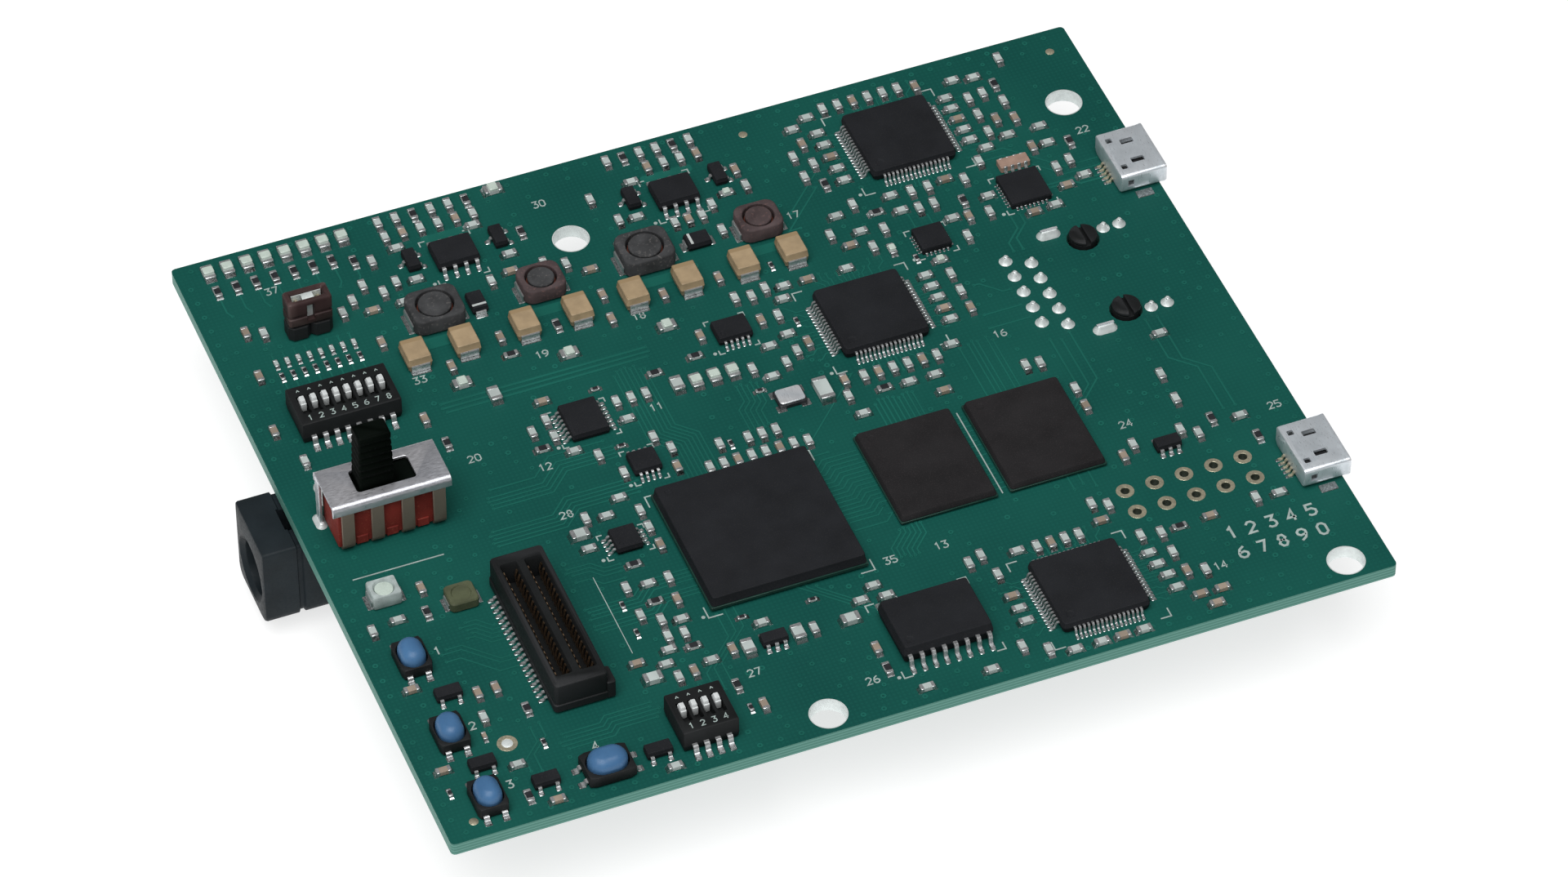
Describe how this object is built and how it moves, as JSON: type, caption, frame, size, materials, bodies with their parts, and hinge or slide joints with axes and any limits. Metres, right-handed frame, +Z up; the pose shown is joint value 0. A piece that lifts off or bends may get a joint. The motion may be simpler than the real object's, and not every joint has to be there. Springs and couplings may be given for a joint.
{
  "type": "microcontroller development board",
  "caption": "Flat rectangular development board carrying processor, memory and driver chips, power parts, slide and coding switches, push buttons and data, power and network connectors.",
  "frame": {"origin": "centre of the board's underside", "axes": "+X along the long edge towards the two data connectors, +Y towards the rear edge, +Z up through the component side"},
  "size_m": [0.111, 0.0898, 0.0295],
  "materials": {
    "solder_mask": "satin green solder mask on glass-epoxy laminate",
    "chip_mould": "fine matt moulding compound with tinned leads",
    "black_plastic": "satin moulded plastic",
    "coil_shield": "dark grey-brown pressed ferrite",
    "tantalum_case": "tan moulded case with tinned ends",
    "red_phenolic": "red-brown phenolic",
    "tinned_steel": "tinned sheet metal",
    "contact_metal": "tinned brass",
    "white_actuator": "white moulded plastic",
    "blue_cap": "glossy blue moulded plastic"
  },
  "bodies": {
    "board": {"pcb": "solder_mask", "processor": "chip_mould", "memory_left": "chip_mould", "memory_right": "chip_mould", "qfp_rear": "chip_mould", "qfp_mid": "chip_mould", "qfp_front": "chip_mould", "flash_memory": "chip_mould", "regulator_left": "chip_mould", "regulator_right": "chip_mould", "inductor_1": "coil_shield", "inductor_2": "coil_shield", "inductor_3": "coil_shield", "inductor_4": "coil_shield", "tantalum_1": "tantalum_case", "tantalum_2": "tantalum_case", "tantalum_3": "tantalum_case", "tantalum_4": "tantalum_case", "tantalum_5": "tantalum_case", "tantalum_6": "tantalum_case", "tantalum_7": "tantalum_case", "tantalum_8": "tantalum_case", "jack_housing": "black_plastic", "jack_pin": "contact_metal", "jack_spring": "contact_metal", "switch_base": "red_phenolic", "switch_frame": "tinned_steel", "dip8_body": "black_plastic", "dip4_body": "black_plastic", "usb_rear_shell": "tinned_steel", "usb_rear_tongue": "black_plastic", "usb_front_shell": "tinned_steel", "usb_front_tongue": "black_plastic", "mezzanine_socket": "black_plastic", "network_shell": "tinned_steel", "network_insert": "black_plastic", "button_1_base": "black_plastic", "button_2_base": "black_plastic", "button_3_base": "black_plastic", "button_4_base": "black_plastic", "jumper_header": "black_plastic"},
    "lever": {"switch_lever": "black_plastic", "switch_wiper": "contact_metal"},
    "dip8_way_1": {"dip8_slider_1": "white_actuator"},
    "dip8_way_2": {"dip8_slider_2": "white_actuator"},
    "dip8_way_3": {"dip8_slider_3": "white_actuator"},
    "dip8_way_4": {"dip8_slider_4": "white_actuator"},
    "dip8_way_5": {"dip8_slider_5": "white_actuator"},
    "dip8_way_6": {"dip8_slider_6": "white_actuator"},
    "dip8_way_7": {"dip8_slider_7": "white_actuator"},
    "dip8_way_8": {"dip8_slider_8": "white_actuator"},
    "dip4_way_1": {"dip4_slider_1": "white_actuator"},
    "dip4_way_2": {"dip4_slider_2": "white_actuator"},
    "dip4_way_3": {"dip4_slider_3": "white_actuator"},
    "dip4_way_4": {"dip4_slider_4": "white_actuator"},
    "button_1": {"button_1_cap": "blue_cap"},
    "button_2": {"button_2_cap": "blue_cap"},
    "button_3": {"button_3_cap": "blue_cap"},
    "button_4": {"button_4_cap": "blue_cap"},
    "shunt": {"jumper_shunt": "black_plastic"}
  },
  "joints": [
    {"name": "power_switch_slide", "type": "slide", "parent": "board", "child": "lever", "axis": [1, 0, 0], "range_m": [0, 0.002]},
    {"name": "dip8_slide_1", "type": "slide", "parent": "board", "child": "dip8_way_1", "axis": [0, -1, 0], "range_m": [0, 0.0012]},
    {"name": "dip8_slide_2", "type": "slide", "parent": "board", "child": "dip8_way_2", "axis": [0, -1, 0], "range_m": [0, 0.0012]},
    {"name": "dip8_slide_3", "type": "slide", "parent": "board", "child": "dip8_way_3", "axis": [0, -1, 0], "range_m": [0, 0.0012]},
    {"name": "dip8_slide_4", "type": "slide", "parent": "board", "child": "dip8_way_4", "axis": [0, -1, 0], "range_m": [0, 0.0012]},
    {"name": "dip8_slide_5", "type": "slide", "parent": "board", "child": "dip8_way_5", "axis": [0, -1, 0], "range_m": [0, 0.0012]},
    {"name": "dip8_slide_6", "type": "slide", "parent": "board", "child": "dip8_way_6", "axis": [0, -1, 0], "range_m": [0, 0.0012]},
    {"name": "dip8_slide_7", "type": "slide", "parent": "board", "child": "dip8_way_7", "axis": [0, -1, 0], "range_m": [0, 0.0012]},
    {"name": "dip8_slide_8", "type": "slide", "parent": "board", "child": "dip8_way_8", "axis": [0, -1, 0], "range_m": [0, 0.0012]},
    {"name": "dip4_slide_1", "type": "slide", "parent": "board", "child": "dip4_way_1", "axis": [0, -1, 0], "range_m": [0, 0.0012]},
    {"name": "dip4_slide_2", "type": "slide", "parent": "board", "child": "dip4_way_2", "axis": [0, -1, 0], "range_m": [0, 0.0012]},
    {"name": "dip4_slide_3", "type": "slide", "parent": "board", "child": "dip4_way_3", "axis": [0, -1, 0], "range_m": [0, 0.0012]},
    {"name": "dip4_slide_4", "type": "slide", "parent": "board", "child": "dip4_way_4", "axis": [0, -1, 0], "range_m": [0, 0.0012]},
    {"name": "button_1_press", "type": "slide", "parent": "board", "child": "button_1", "axis": [0, 0, -1], "range_m": [0, 0.0003], "stiffness_N_per_m": 400, "springref_m": -0.0005},
    {"name": "button_2_press", "type": "slide", "parent": "board", "child": "button_2", "axis": [0, 0, -1], "range_m": [0, 0.0003], "stiffness_N_per_m": 400, "springref_m": -0.0005},
    {"name": "button_3_press", "type": "slide", "parent": "board", "child": "button_3", "axis": [0, 0, -1], "range_m": [0, 0.0003], "stiffness_N_per_m": 400, "springref_m": -0.0005},
    {"name": "button_4_press", "type": "slide", "parent": "board", "child": "button_4", "axis": [0, 0, -1], "range_m": [0, 0.0003], "stiffness_N_per_m": 400, "springref_m": -0.0005},
    {"name": "jumper_pull", "type": "slide", "parent": "board", "child": "shunt", "axis": [0, 0, 1], "range_m": [0, 0.0025]}
  ]
}
